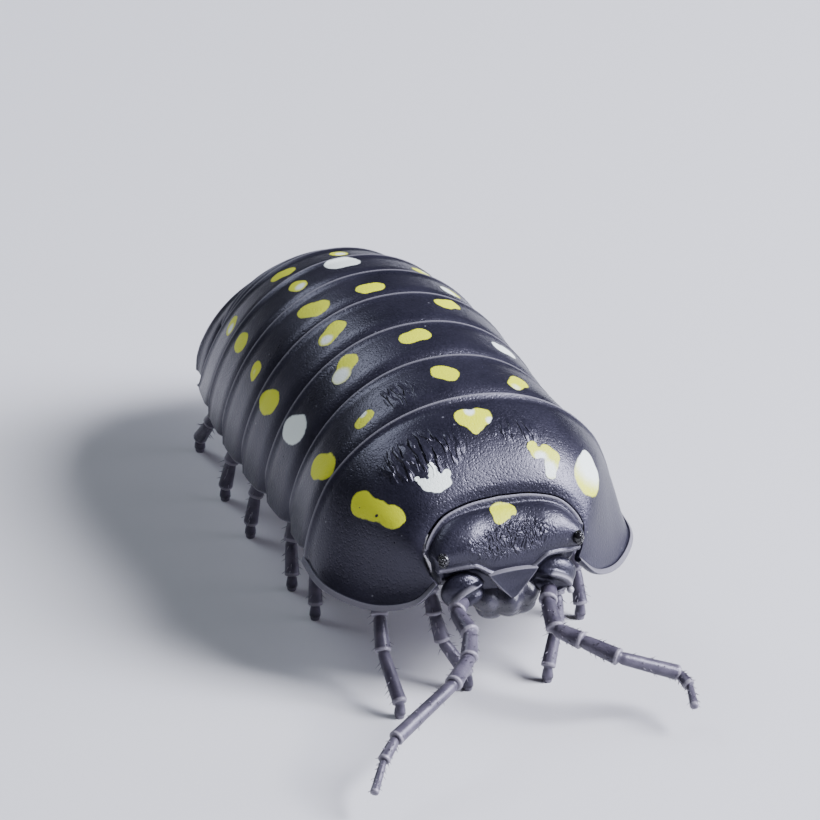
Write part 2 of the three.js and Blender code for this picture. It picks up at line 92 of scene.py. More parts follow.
# %% [markdown]
# Some edges, such as the collar round the head, are easier to give as a few points with a smooth line
# through them. This is a centripetal spline: it passes through every point and doesn't overshoot at tight
# bends.

# %% A smooth line through a few points
class Line:
    def __init__(self, points):
        pts = [Vector(p) for p in points]
        self.pts = [2 * pts[0] - pts[1], *pts, 2 * pts[-1] - pts[-2]]
        self.spans = len(points) - 1

    def at(self, t):
        place = min(max(t, 0.0), 1.0) * self.spans
        k = min(int(place), self.spans - 1)
        w = place - k
        p0, p1, p2, p3 = self.pts[k : k + 4]
        d0, d1, d2 = (max((b - a).length, 1e-6) ** 0.5 for a, b in ((p0, p1), (p1, p2), (p2, p3)))
        m1 = ((p1 - p0) / d0 - (p2 - p0) / (d0 + d1) + (p2 - p1) / d1) * d1
        m2 = ((p2 - p1) / d1 - (p3 - p1) / (d1 + d2) + (p3 - p2) / d2) * d1
        from_start = p1 * (2 * w**3 - 3 * w**2 + 1) + m1 * (w**3 - 2 * w**2 + w)
        to_end = p2 * (3 * w**2 - 2 * w**3) + m2 * (w**3 - w**2)
        return from_start + to_end


# %% [markdown]
# Shader maths reads best as ordinary sums, so a small class wraps a node's output and lets it be added,
# multiplied and stepped. One method makes every other node from its type, its settings and its inputs.

# %% Sums on shader sockets
class Wire:
    def __init__(self, finish, socket):
        self.finish = finish
        self.socket = socket

    def sum(self, operation, *terms):
        node = self.finish.node("ShaderNodeMath", {"operation": operation}, dict(enumerate(terms)))
        return self.finish.wire(node, 0)

    def __add__(self, other):
        return self.sum("ADD", self, other)

    __radd__ = __add__

    def __sub__(self, other):
        return self.sum("SUBTRACT", self, other)

    def __rsub__(self, other):
        return self.sum("SUBTRACT", other, self)

    def __mul__(self, other):
        return self.sum("MULTIPLY", self, other)

    __rmul__ = __mul__

    def __truediv__(self, other):
        return self.sum("DIVIDE", self, other)

    def most(self, other):
        return self.sum("MAXIMUM", self, other)

    def least(self, other):
        return self.sum("MINIMUM", self, other)

    def step(self, low, high):
        """0 below low, 1 above high and smooth between. A low above the high turns it round."""
        settings = {"interpolation_type": "SMOOTHSTEP", "clamp": True}
        inputs = {"Value": self, "From Min": low, "From Max": high, "To Min": 0.0, "To Max": 1.0}
        return self.finish.wire(self.finish.node("ShaderNodeMapRange", settings, inputs), 0)


# %% [markdown]
# A finish is one material. Its patterns read the piece's own coordinates, turned into millimetres, so a
# grain size can be given as on a ruler.

# %% A finish
class Finish:
    def __init__(self, name):
        self.material = bpy.data.materials.new(name)
        self.material.use_nodes = True
        self.tree = self.material.node_tree
        self.shader = self.tree.nodes["Principled BSDF"]
        metres = self.node("ShaderNodeTexCoord").outputs["Object"]
        self.place = self.vector("SCALE", {0: metres, "Scale": 1 / MM})

    def node(self, kind, settings=None, inputs=None):
        node = self.tree.nodes.new(kind)
        for name, value in (settings or {}).items():
            setattr(node, name, value)
        for name, value in (inputs or {}).items():
            self.feed(node.inputs[name], value)
        return node

    def feed(self, socket, value):
        if isinstance(value, Wire):
            value = value.socket
        if isinstance(value, bpy.types.NodeSocket):
            self.tree.links.new(value, socket)
        else:
            socket.default_value = value

    def wire(self, node, output):
        return Wire(self, node.outputs[output])

    def vector(self, operation, inputs):
        return self.node("ShaderNodeVectorMath", {"operation": operation}, inputs).outputs[0]

    def mark(self, name):
        return self.wire(self.node("ShaderNodeAttribute", {"attribute_name": name}), "Fac")

    def blotch(self, scale, detail=2.0, rough=0.5, at=None):
        inputs = {"Vector": at or self.place, "Scale": scale, "Detail": detail, "Roughness": rough}
        return self.wire(self.node("ShaderNodeTexNoise", None, inputs), 0)

    def cells(self, scale):
        inputs = {"Vector": self.place, "Scale": scale}
        return self.wire(self.node("ShaderNodeTexVoronoi", None, inputs), "Distance")

    def colours(self, share, first, second):
        node = self.node("ShaderNodeMix", {"data_type": "RGBA"})
        for index, value in ((0, share), (6, first), (7, second)):
            self.feed(node.inputs[index], value)
        return node.outputs[2]

    def stretched(self, size, turn=(0, 0, 0), centre=(0, 0, 0), at=None):
        """The place measured in a turned box: 1 is its half size from its centre."""
        inputs = {"Vector": at or self.place, "Location": centre, "Rotation": turn, "Scale": size}
        return self.node("ShaderNodeMapping", {"vector_type": "TEXTURE"}, inputs).outputs[0]

    def bumps(self, *layers):
        """Bump layers, each a height and a depth in millimetres, one upon the other."""
        normal = None
        for height, depth in layers:
            inputs = {"Height": height, "Distance": depth * MM, "Strength": 1.0}
            if normal is not None:
                inputs["Normal"] = normal
            normal = self.node("ShaderNodeBump", None, inputs).outputs[0]
        self.feed(self.shader.inputs["Normal"], normal)

    def set(self, **values):
        names = {"colour": "Base Color", "rough": "Roughness"}
        names |= {"tint": "Specular Tint", "gloss": "Specular IOR Level"}
        for name, value in values.items():
            self.feed(self.shader.inputs[names[name]], value)


# %% [markdown]
# Every piece is finished the same way: move it into the frame, smooth it, give it its finish, and let it
# ride on the animal's one body in place of the solids that it stands for.

# %% Finish a piece
ALL_PIECES = []


def piece(name, bm, finish, nodes=(), wall=0.0, levels=0):
    bmesh.ops.transform(bm, matrix=TO_FRAME, verts=bm.verts)
    mesh = bpy.data.meshes.new(name)
    bm.to_mesh(mesh)
    bm.free()
    mesh.shade_smooth()
    mesh.materials.append(finish.material)
    made = bpy.data.objects.new(name, mesh)
    bpy.context.scene.collection.objects.link(made)
    if wall:
        skin = made.modifiers.new("wall", "SOLIDIFY")
        skin.thickness, skin.offset = wall * MM, -1.0
    if levels:
        smooth = made.modifiers.new("smooth", "SUBSURF")
        smooth.levels = smooth.render_levels = levels
    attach(made, "root")
    if nodes:
        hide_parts(*nodes)
    ALL_PIECES.append(made)
    return made


# %% [markdown]
# A plate starts as a flat grid. Its x runs from the animal's right hem to its left hem and its y from the
# plate's front to its hind edge, and each point of it is lifted to its place on the arched back. Rows are
# closer together near the edges, where the thin raised rim needs them.

# %% Turn a grid into a surface
def surface_from_grid(across, along, shape, mark="rim", edge_rows=0.75):
    bm = bmesh.new()
    bmesh.ops.create_grid(bm, x_segments=across, y_segments=along, size=1.0)
    layer = bm.verts.layers.float.new(mark)
    for vert in bm.verts:
        s = vert.co.x * (1.25 - 0.25 * vert.co.x**2)
        v = (vert.co.y + 1) / 2
        u = v - edge_rows * math.sin(2 * math.pi * v) / (2 * math.pi)
        vert.co, vert[layer] = shape(s, u)
    return bm


# %% [markdown]
# These are the hind edges of the back plates, as on the solids: where each crosses the back, how wide it is
# and where it meets the hem.

# %% The hind edges of the plates
HEM_Z = 2.7
GAP = 0.22


def edge(y, z, half, hem_y, hem_z, hook=1.0):
    return {"y": y, "z": z, "half": half, "hem_y": hem_y, "hem_z": hem_z, "hook": hook}


TRUNK = [
    edge(-4.88, 6.85, 4.42, -4.92, HEM_Z + 0.25),
    edge(-2.95, 7.12, 4.14, -3.0, HEM_Z),
    edge(-1.3, 7.32, 4.16, -1.25, HEM_Z),
    edge(0.32, 7.4, 4.18, 0.45, HEM_Z),
    edge(1.9, 7.33, 4.08, 2.15, HEM_Z),
    edge(3.4, 7.08, 3.86, 3.75, HEM_Z - 0.03),
    edge(4.75, 6.66, 3.45, 5.75, HEM_Z - 0.07, 0.4),
]
TAIL = [
    edge(5.2, 6.42, 2.85, 5.52, HEM_Z + 1.1),
    edge(5.65, 6.12, 2.72, 5.9, HEM_Z + 1.05),
    edge(6.22, 5.62, 3.12, 6.62, HEM_Z - 0.12),
    edge(6.74, 5.04, 2.86, 7.18, HEM_Z - 0.18),
    edge(7.18, 4.4, 2.54, 7.72, HEM_Z - 0.25),
]


def between(a, b, u):
    return {key: lerp(a[key], b[key], u) for key in a}


def shifted(e, **changes):
    return e | {key: e[key] + change for key, change in changes.items()}


def arch(e, s, sink=0.0):
    angle = abs(s) * math.pi / 2
    out = math.sin(angle) ** 0.94
    up = max(math.cos(angle), 0.0) ** 1.04
    width = e["half"] - sink * math.sin(angle)
    y = lerp(e["hem_y"], e["y"], up ** e["hook"])
    return vec(math.copysign(width * out, s), y, lerp(e["hem_z"], e["z"], up) - sink * up)


# %% [markdown]
# The plates of a real woodlouse overlap like roof tiles: the front of each slides under the hind rim of the
# one before. So a plate's surface starts a little ahead of that rim and lower, rises past it, and ends in a
# rim of its own that turns up.

# %% The surface of one overlapping plate
TUCK = 0.38
RIM_WIDTH = 0.11
NO_RIM = 0.3


def tucked(previous):
    return shifted(previous, y=-TUCK, hem_y=-TUCK)


def rim_swell(distance):
    """A thin bead along the edge, with a shallow furrow inside it."""
    bead = 0.035 * math.exp(-((distance / RIM_WIDTH) ** 2))
    return bead - 0.02 * math.exp(-(((distance - 0.26) / 0.12) ** 2))


def tile(start, end, corner):
    def shape(s, u):
        low = ease((abs(s) - 0.86) / 0.14)
        t = lerp(u, 0.52 + (u - 0.5) * (1 - corner), low)
        e = between(start, end, t)
        length = (arch(end, s) - arch(start, s)).length
        to_hind = (1 - t) * length
        to_hem = (1 - abs(s)) * (e["z"] - e["hem_z"]) * 1.45
        distance = min(to_hind, to_hem) if low < 1 else 0.0
        sink = 0.36 * (1 - ease(u / 0.42)) - rim_swell(to_hind)
        return arch(e, s, sink), distance

    return shape


# %% [markdown]
# The first plate is the largest one seen. Its front edge is a collar round the back and sides of the head,
# and it comes down in a rounded lobe beside each cheek. The collar and the lobe's lower edge are smooth
# lines, and the plate swells between the collar and its own hind edge.

# %% The surface of the first plate
CHEEK = vec(2.02, -8.1, 3.4)
COLLAR_TOP = [(0, -7.3, 5.25), (0.95, -7.36, 5.18), (1.75, -7.5, 4.92)]
COLLAR = Line([*COLLAR_TOP, (2.25, -7.74, 4.3), (2.26, -7.95, 3.78), CHEEK])
FIRST = TRUNK[0]
LOBE = Line(
    [
        CHEEK,
        (2.55, -8.02, HEM_Z + 0.2),
        (3.45, -7.4, HEM_Z - 0.1),
        (4.34, -6.25, HEM_Z + 0.05),
        (FIRST["half"], FIRST["hem_y"], FIRST["hem_z"]),
    ]
)


def first_plate(s, u):
    size = abs(s)
    chord = COLLAR.at(size).lerp(arch(FIRST, size, -0.05 * u), u)
    outward = vec(size * 0.9, -0.1, 0.9).normalized()
    swell = lerp(0.33, 0.5, ease(size / 0.7)) * (1 - ease((size - 0.7) / 0.3))
    length = (arch(FIRST, size) - COLLAR.at(size)).length
    to_front, to_hind = u * length * 1.1, (1 - u) * length * 1.1
    body = chord + outward * (math.sin(math.pi * u**0.78) * swell)
    place = body.lerp(LOBE.at(u), ease((size - 0.62) / 0.38))
    to_low = (1 - size) * 5.2
    distance = min(to_hind, to_low)
    turned_down = 0.07 * (1 - ease(to_front / 0.2)) * (1 - size)
    place += outward * (rim_swell(distance) - turned_down)
    return (flipped(place) if s < 0 else place), distance


# %% [markdown]
# The shell is near-black slate with a satin gloss. Up close it's finely grained, with a violet cast in its
# sheen, and the thin rims are pale. Each spot is a few round blobs that melt together. Some blobs may be
# white, and some may be bitten out of it.

# %% The shell's colours and one spot
YELLOW = (0.66, 0.71, 0.0, 1)
CREAM = (0.80, 0.88, 0.80, 1)
SHELL_DARK = (0.006, 0.006, 0.011, 1)
SHELL_LIGHT = (0.022, 0.021, 0.034, 1)
RIM_PALE = (0.165, 0.16, 0.18, 1)
SPECK = (0.26, 0.26, 0.29, 1)
SHEEN = (0.84, 0.82, 1.0, 1)
SOFT_MELT = 0.9
SHARP_MELT = 0.3
BLOB_SHARE = 0.95


def spot(blobs, white=(), bites=(), melt=SOFT_MELT):
    """Blobs of x, y, z and radius that melt together, those that are white, and those bitten out."""
    return {"blobs": blobs, "white": white, "bites": bites, "melt": melt}


def blob_reach(finish, blobs, at, melt):
    """1 on the outline of the blobs, less inside it."""
    reach = None
    for x, y, z, radius in blobs:
        centre = tuple(vec(x, y, z) + DATUM)
        far = finish.node("ShaderNodeVectorMath", {"operation": "DISTANCE"}, {0: at, 1: centre})
        own = finish.wire(far, "Value") / (radius * BLOB_SHARE)
        reach = own if reach is None else reach.sum("SMOOTH_MIN", reach, own, melt)
    return reach


# %% [markdown]
# Pigment doesn't end in a clean curve: its outline wanders a little and its very edge is peppered. So the
# place is pushed about by a slow noise before the distances are taken, and the shell's own grain is added.
# The same pushed places bend the fine folds behind the head, which are stretched noise in a soft box.

# %% The shell's finish
PIT_DEPTH = 0.010
GRAIN_DEPTH = 0.008
WORM_DEPTH = 0.085


def wandering(finish, amount):
    slow = finish.node("ShaderNodeTexNoise", None, {"Vector": finish.place, "Scale": 2.2, "Detail": 1.0})
    centred = finish.vector("SUBTRACT", {0: slow.outputs["Color"], 1: (0.5, 0.5, 0.5)})
    moved = finish.vector("SCALE", {0: centred, "Scale": amount})
    return finish.vector("ADD", {0: finish.place, 1: moved})


def turn_towards(along):
    return tuple(Vector(along).to_track_quat("X", "Z").to_euler())


def patch(finish, centre, half, along):
    """1 in the middle of a turned box, falling to 0 at its half sizes."""
    box = finish.stretched(half, turn_towards(along), tuple(Vector(centre) + DATUM))
    far = finish.node("ShaderNodeVectorMath", {"operation": "LENGTH"}, {0: box})
    return finish.wire(far, "Value").step(1.0, 0.35)


def shell_finish(name, spots, folds=(), worms=None, rim_colour=RIM_PALE):
    f = Finish(name)
    grain = f.blotch(15.0, 3.0, 0.62)
    cloud = f.blotch(0.8, 3.0)
    frayed = wandering(f, 0.14)
    pepper = (grain - 0.5) * 0.16
    base = f.colours((cloud * 0.7 + grain * 0.6 - 0.2).step(0.1, 0.9), SHELL_DARK, SHELL_LIGHT)
    height = grain
    pigment = None
    for sp in spots:
        mask = (blob_reach(f, sp["blobs"], frayed, sp["melt"]) + pepper).step(1.07, 0.93)
        if sp["bites"]:
            mask = mask * (blob_reach(f, sp["bites"], frayed, SHARP_MELT) + pepper).step(0.93, 1.1)
        tint = YELLOW
        if sp["white"]:
            whiteness = blob_reach(f, sp["white"], frayed, SOFT_MELT) + pepper * 2.0
            tint = f.colours(whiteness.step(1.45, 0.6), YELLOW, CREAM)
        base = f.colours(mask, base, tint)
        pigment = mask if pigment is None else pigment.most(mask)
    specks = f.cells(1.6).step(0.055, 0.03)
    base = f.colours(specks * 0.45, base, SPECK)
    rim = f.mark("rim").step(0.1, 0.03)
    base = f.colours(rim * 0.85, base, rim_colour)
    rough = grain * 0.2 + cloud * 0.12 + 0.16 + rim * 0.15
    if pigment is not None:
        height = height + pigment * 0.3
        rough = rough + pigment * 0.22
    layers = [(f.cells(13.0).least(0.45), PIT_DEPTH), (height, GRAIN_DEPTH)]
    for centre, half, along in folds:
        box = f.stretched((0.62, 0.13, 0.2), turn_towards(along), at=frayed)
        grooves = (f.blotch(1.0, 1.0, 0.4, box) - 0.5).step(-0.09, 0.09)
        layers.append((patch(f, centre, half, along) * grooves, half[2] * 0.1))
    if worms:
        centre, half, along = worms
        box = f.stretched((0.3, 0.13, 0.2), turn_towards(along), at=wandering(f, 0.5))
        wavy = f.blotch(1.0, 2.0, 0.55, box) - 0.5
        lines = (wavy.sum("ABSOLUTE", wavy) * 5.0).least(1.0)
        layers.append((patch(f, centre, half, along) * lines, WORM_DEPTH))
    f.bumps(*layers)
    f.set(colour=base, rough=rough, tint=SHEEN, gloss=0.6)
    return f


# %% [markdown]
# The spots run in five rows: one down the middle of the back and two down each side. Those that the
# picture shows are placed and shaped one by one. On the far side and the rear the same rows go on, a little
# smaller.

# %% Where the spots are
WHITE_SIZES = (0.0, 0.0, 0.5, 0.9)


def round_spot(rng, place, size, white):
    shift = vec(rng.uniform(-0.5, 0.5), rng.uniform(-0.35, 0.35), 0) * size
    blobs = [(*(place + shift), size * 0.82), (*(place - shift), size * 0.74)]
    return spot(blobs, [(*(place + shift * 1.3), size * white)] if white else ())


def row_spots(index, start, end, rows):
    """One spot of a plate in each row."""
    rng = random.Random(40 + index)
    found = []
    for s in rows:
        place = arch(between(start, end, 0.64 + rng.uniform(-0.05, 0.05)), s + rng.uniform(-0.02, 0.02))
        size = 0.4 * (1 - 0.06 * max(index - 4, 0)) * rng.uniform(0.85, 1.15)
        found.append(round_spot(rng, place, size, rng.choice(WHITE_SIZES)))
    return found


# The heart-shaped one in the middle of the first plate, with a white patch at the back and one at the side
HEART = spot(
    [(-0.24, -5.57, 6.64, 0.3), (0.2, -5.6, 6.62, 0.31)]
    + [(-0.06, -5.8, 6.54, 0.25), (-0.12, -5.98, 6.45, 0.09)],
    [(-0.06, -5.4, 6.7, 0.13), (0.4, -5.76, 6.54, 0.13)],
    melt=0.6,
)
# The white one, whose upper side ends in three points
POINTED = spot(
    [(-1.59, -6.94, 5.64, 0.26), (-1.4, -6.93, 5.67, 0.23), (-1.8, -6.93, 5.62, 0.2)]
    + [(-1.93, -6.83, 5.68, 0.12), (-2.02, -6.7, 5.75, 0.08), (-1.57, -6.75, 5.81, 0.14)]
    + [(-1.58, -6.64, 5.89, 0.11), (-1.58, -6.53, 5.97, 0.08), (-1.25, -6.8, 5.83, 0.12)],
    [(-1.6, -6.9, 5.7, 2.0)],
    [(-1.8, -6.67, 5.83, 0.11), (-1.74, -6.79, 5.75, 0.05), (-1.4, -6.68, 5.9, 0.1)],
    0.4,
)
# The broken one: two strokes joined below their tops, the second one longer and white at its end
BROKEN = spot(
    [(1.27, -6.54, 6.01, 0.16), (1.33, -6.72, 5.88, 0.16), (1.47, -6.72, 5.86, 0.14)]
    + [(1.62, -6.64, 5.89, 0.19), (1.74, -6.8, 5.74, 0.22)]
    + [(1.66, -6.97, 5.6, 0.2), (1.56, -7.13, 5.46, 0.14)],
    [(1.56, -7.06, 5.53, 0.24), (1.42, -6.8, 5.8, 0.17)],
    [(1.47, -6.52, 5.98, 0.07)],
)
# The long yellow one above the lobe, with two dark specks
LONG = spot(
    [(-3.36, -6.24, 4.98, 0.37), (-3.08, -6.6, 4.93, 0.3)]
    + [(-2.84, -6.96, 4.88, 0.31), (-2.74, -7.08, 4.9, 0.24)],
    bites=[(-3.43, -6.24, 4.9, 0.035), (-3.13, -6.72, 4.86, 0.045)],
)
# The pale drop on the other side, yellow at its lower end
DROP = spot(
    [(2.7, -7.0, 5.04, 0.47), (2.8, -6.78, 5.2, 0.42), (2.9, -6.46, 5.38, 0.2)],
    [(2.93, -6.6, 5.26, 0.62)],
)
SPOTS = {
    1: [HEART, POINTED, BROKEN, LONG, DROP],
    2: [
        spot([(-3.6, -4.2, 5.12, 0.4), (-3.68, -3.85, 4.95, 0.36)]),
        spot([(-2.52, -4.11, 6.13, 0.23), (-2.33, -4.07, 6.26, 0.23)], [(-2.42, -3.88, 6.25, 0.12)]),
        spot([(-0.17, -3.62, 7.02, 0.28), (0.02, -3.74, 6.98, 0.31), (0.02, -3.96, 6.93, 0.16)]),
        spot([(1.72, -4.22, 6.55, 0.26), (1.96, -4.0, 6.5, 0.29)], [(1.66, -4.34, 6.5, 0.17)]),
        spot([(3.6, -4.15, 5.08, 0.36), (3.68, -3.85, 4.92, 0.34)]),
    ],
    3: [
        spot([(-3.52, -2.05, 5.1, 0.42), (-3.6, -1.75, 4.98, 0.38)], [(-3.55, -1.9, 5.05, 2.0)]),
        spot([(-2.28, -2.06, 6.48, 0.3), (-2.0, -1.78, 6.66, 0.33)], [(-2.3, -2.05, 6.48, 0.27)]),
        spot([(-0.36, -1.92, 7.2, 0.28), (0.0, -1.87, 7.23, 0.31)]),
        spot([(2.2, -2.05, 6.5, 0.28), (2.5, -1.95, 6.3, 0.28)], [(2.36, -2.0, 6.4, 2.0)]),
        spot([(3.55, -1.95, 5.02, 0.38)], [(3.5, -2.1, 5.1, 0.2)]),
    ],
    4: [
        spot([(-3.58, -0.3, 5.08, 0.36), (-3.62, -0.05, 4.95, 0.34)]),
        spot([(-2.05, -0.42, 6.8, 0.28), (-1.75, -0.25, 6.93, 0.3)], [(-2.1, -0.45, 6.78, 0.16)]),
        spot([(1.35, -0.2, 7.13, 0.28), (1.65, -0.1, 7.03, 0.27)]),
        spot([(3.58, -0.25, 5.07, 0.36)]),
    ],
}

# %% [markdown]
# The first plate has two groups of fine folds behind the head: one beyond its white spot and one beyond
# the broken spot.

# %% Make the first plate
FOLDS = [
    ((-1.75, -6.2, 6.1), (0.8, 1.4, 1.0), (0.12, -1, -0.5)),
    ((1.1, -6.1, 6.3), (0.45, 0.95, 0.38), (-0.1, -1, -0.45)),
]
PLATE_WALL = 0.15
bm = surface_from_grid(110, 44, first_plate)
finish = shell_finish("shell_1", SPOTS[1], FOLDS)
plate_1 = piece("shell_plate_1", bm, finish, ["pereonite_1"], PLATE_WALL, 1)
print("first plate", len(plate_1.data.vertices), "points")

# %% [markdown]
# The other six trunk plates are tiles. The second has a small group of folds as well. On the fifth and the
# sixth the middle spot is the one that the picture shows, and their other rows leave room for it.

# %% Make the other trunk plates
ALL_ROWS = (-0.6, -0.28, 0.0, 0.28, 0.6)
SIDE_ROWS = {5: (-0.62, -0.3, 0.32, 0.62), 6: (-0.6, -0.28, 0.3, 0.6)}
MIDDLE_SPOTS = {
    5: spot([(-0.45, 0.95, 7.3, 0.27), (-0.15, 0.95, 7.34, 0.26)]),
    6: spot([(-0.45, 3.05, 7.1, 0.36), (-0.1, 3.0, 7.14, 0.34)], [(-0.3, 3.0, 7.1, 2.0)]),
}
SECOND_FOLDS = [((-1.45, -4.0, 6.6), (0.6, 0.7, 0.5), (0.1, -1, -0.2))]
for number in range(2, 8):
    start, end = tucked(TRUNK[number - 2]), TRUNK[number - 1]
    spots = SPOTS.get(number) or row_spots(number, start, end, SIDE_ROWS.get(number, ALL_ROWS))
    if number in MIDDLE_SPOTS:
        spots.append(MIDDLE_SPOTS[number])
    bm = surface_from_grid(84, 20, tile(start, end, lerp(0.3, 0.12, (number - 2) / 5)))
    finish = shell_finish(f"shell_{number}", spots, SECOND_FOLDS if number == 2 else ())
    piece(f"shell_plate_{number}", bm, finish, [f"pereonite_{number}"], PLATE_WALL, 1)
print("trunk plates", len(ALL_PIECES))

# %% [markdown]
# Behind the trunk come five short tail plates. The first two lie between their neighbours and have no
# flaps, and the next three sweep back along the sides.

# %% Make the tail plates
for index, end in enumerate(TAIL):
    before = TRUNK[-1] if index == 0 else TAIL[index - 1]
    start = tucked(before)
    if index < 2:
        hem_y = end["hem_y"] - (end["y"] - start["y"])
        start.update(half=end["half"], hem_y=hem_y, hem_z=end["hem_z"], hook=1.0)
    elif index == 2:
        hem_y = TRUNK[-1]["hem_y"] + GAP - TUCK
        start.update(half=end["half"] + 0.05, hem_y=hem_y, hem_z=HEM_Z - 0.1, hook=1.6)
    bm = surface_from_grid(72, 14, tile(start, end, 0.2 if index >= 2 else 0.05))
    spots = row_spots(8 + index, start, end, (-0.32, 0.0, 0.32)) if index in (2, 3) else []
    finish = shell_finish(f"shell_tail_{index + 1}", spots)
    piece(f"tail_plate_{index + 1}", bm, finish, [f"pleonite_{index + 1}"], PLATE_WALL, 1)
print("plates", len(ALL_PIECES))

# %% [markdown]
# Under the plates lies the soft skin that joins them. It follows the same arches a little deeper, so
# nothing shows through where one plate lifts off the next. Below the first two tail plates, which have no
# flaps, it goes on down to the hem.

# %% Make the skin under the plates
SKIN_DEPTH = 0.3
SKIN_START = shifted(TRUNK[0], y=-0.5, hem_y=-0.5, z=-0.15, half=-0.12)
SHORT_SIDES = [dict(e, half=3.0, hem_y=e["hem_y"] + 0.4, hem_z=HEM_Z - 0.1) for e in TAIL[:2]]
SKIN_EDGES = [SKIN_START, *TRUNK, *SHORT_SIDES, *TAIL[2:]]


def under_skin_shape(s, u):
    place = u * (len(SKIN_EDGES) - 1)
    k = min(int(place), len(SKIN_EDGES) - 2)
    return arch(between(SKIN_EDGES[k], SKIN_EDGES[k + 1], place - k), s * 0.97, SKIN_DEPTH), NO_RIM


bm = surface_from_grid(72, 144, under_skin_shape, edge_rows=0.0)
piece("under_skin", bm, shell_finish("under_skin", []), wall=0.06)
print("skin under the plates", len(ALL_PIECES))

# %% [markdown]
# The body ends in a blunt, rounded triangle with a flat plate at each side of it. They are the same grid,
# bent to the solids' own lines and given a wall. Their front ends go on under the last tail plate, and a
# skin between them and that plate's arch closes the body. That skin takes the shell's near-black finish in
# place of the belly's paler one, as painted shade.

# %% Make the tail end
def telson_half(u):
    """Half the triangle's width: 0 is at the last plate's edge, 1 at the tip, less is under the plate."""
    narrowed = (1 - 0.3 * ease((u - 0.75) * 4)) * (1 + 0.5 * min(u, 0))
    return lerp(1.32, 0.62, max(u, 0) ** 0.8) * narrowed


def telson_shape(s, u):
    u = lerp(-0.6, 1, u)
    out = max(u, 0)
    crown = 0.16 * (1 - s * s)
    y = lerp(7.34, 8.0, u) + crown + 0.12 * s * s
    z = lerp(4.18, 2.9, out) + crown * 0.5 - s * s * lerp(0.22, -0.2, out) + 0.05 * min(u, 0)
    distance = min((1 - abs(s)) * telson_half(u), (1 - u) * 1.4)
    return vec(telson_half(u) * s, y, z), distance


def uropod_shape(side):
    def shape(s, u):
        u = lerp(-0.45, 1, u)
        share = (side * s + 1) / 2
        rounding = 0.16 * ease((u - 0.6) / 0.4) * abs(2 * share - 1)
        inside = telson_half(max(u, 0)) + GAP * 0.4
        x = side * lerp(inside, lerp(1.78, 2.02, u) - rounding, share)
        distance = min(1 - u, (1 - abs(s)) * 0.4)
        tucked_in = min(u, 0)
        y = lerp(7.88, 8.06, u) + 1.4 * tucked_in
        return vec(x, y, lerp(3.5, 2.42, max(u, 0)) - 0.1 * tucked_in + rounding), distance

    return shape


TAIL_OPENING = shifted(TAIL[-1], y=-0.2, hem_y=-0.3, z=-0.2, half=-0.17, hem_z=0.1)


def tail_skin_shape(s, u):
    return arch(TAIL_OPENING, s).lerp(vec(0.3 * s, 7.55, 2.75), u), NO_RIM


END_WALL = 0.16
SIDES = ((1, "left"), (-1, "right"))
tail_finish = shell_finish("shell_tail_end", [])
# The tail skin's near-black is painted shade under the last plate.
bm = surface_from_grid(40, 10, tail_skin_shape)
piece("tail_skin", bm, tail_finish, wall=0.08, levels=1)
bm = surface_from_grid(30, 24, telson_shape)
piece("telson_plate", bm, tail_finish, ["telson"], END_WALL, 1)
for side, name in SIDES:
    bm = surface_from_grid(14, 18, uropod_shape(side))
    piece(f"uropod_{name}_plate", bm, tail_finish, [f"uropod_{name}"], END_WALL, 1)
print("tail end", len(ALL_PIECES))

# %% [markdown]
# The head is a broad, shallow capsule. Going round it from the back: a raised pale rim that fills the
# collar, a narrow furrow, a strongly domed crown, a wavy front line with a thin lip, the face below it, and
# the chin. The stations run across the head, and past the eyes they close in to a rounded side.

# %% The head's outline at one station
HEAD_CENTRE = vec(0, -8.0, 3.9)
HEAD_HALF = 2.05
HEAD_SPAN = 0.62
SIDE_SHARE = 0.88
DOME_PLACES = (0.06, 0.13, 0.25, 0.42, 0.6, 0.76, 0.88, 0.95)
DOME_RISES = (0.0, 0.1, 0.21, 0.29, 0.3, 0.24, 0.13, 0.04)


def front_line(x):
    """The wavy line: level in the middle, with a hump over the root of each feeler."""
    a = min(abs(x) / (HEAD_HALF * 0.92), 1.0)
    hump = 0.31 * ease((abs(x) - 0.45) / 0.62) - 0.08 * ease((abs(x) - 1.2) / 0.7)
    return vec(x, lerp(-8.45, -8.2, a * a), 3.52 + hump)


def head_ring(c):
    place = COLLAR.at(abs(c))
    inward = (HEAD_CENTRE - place).normalized()
    a = min(place.x / HEAD_HALF, 1.0) ** 2
    crest = place + inward * 0.05 + vec(0, -0.05, 0)
    furrow = place + inward * 0.15 + vec(0, -0.06, 0)
    line = front_line(furrow.x * 0.93)
    under = furrow.x * lerp(0.95, 0.84, a)
    points = [place + inward * 0.2 + vec(0, 0.3, 0), place + inward * 0.1 + vec(0, 0.04, 0), crest, furrow]
    for t, rise in zip(DOME_PLACES, DOME_RISES):
        points.append(furrow.lerp(line, t) + vec(0, -0.85, 0.53) * rise)
    points += [line + vec(0, -0.05, 0.02), line + vec(0, -0.02, -0.05)]
    points += [vec(under, line.y + 0.13, line.z - 0.15), vec(under, line.y + 0.16, lerp(3.0, 3.4, a))]
    points += [vec(under, line.y + 0.3, lerp(2.75, 3.2, a)), vec(under, line.y + 0.6, lerp(2.55, 3.0, a))]
    points += [vec(furrow.x * 0.8, -7.3, lerp(2.9, 3.1, a)), vec(furrow.x * 0.8, -7.0, 3.75)]
    return points, crest, line


# %% [markdown]
# The pale rim and the pale lip of the front line are marked by how far each point lies from them.

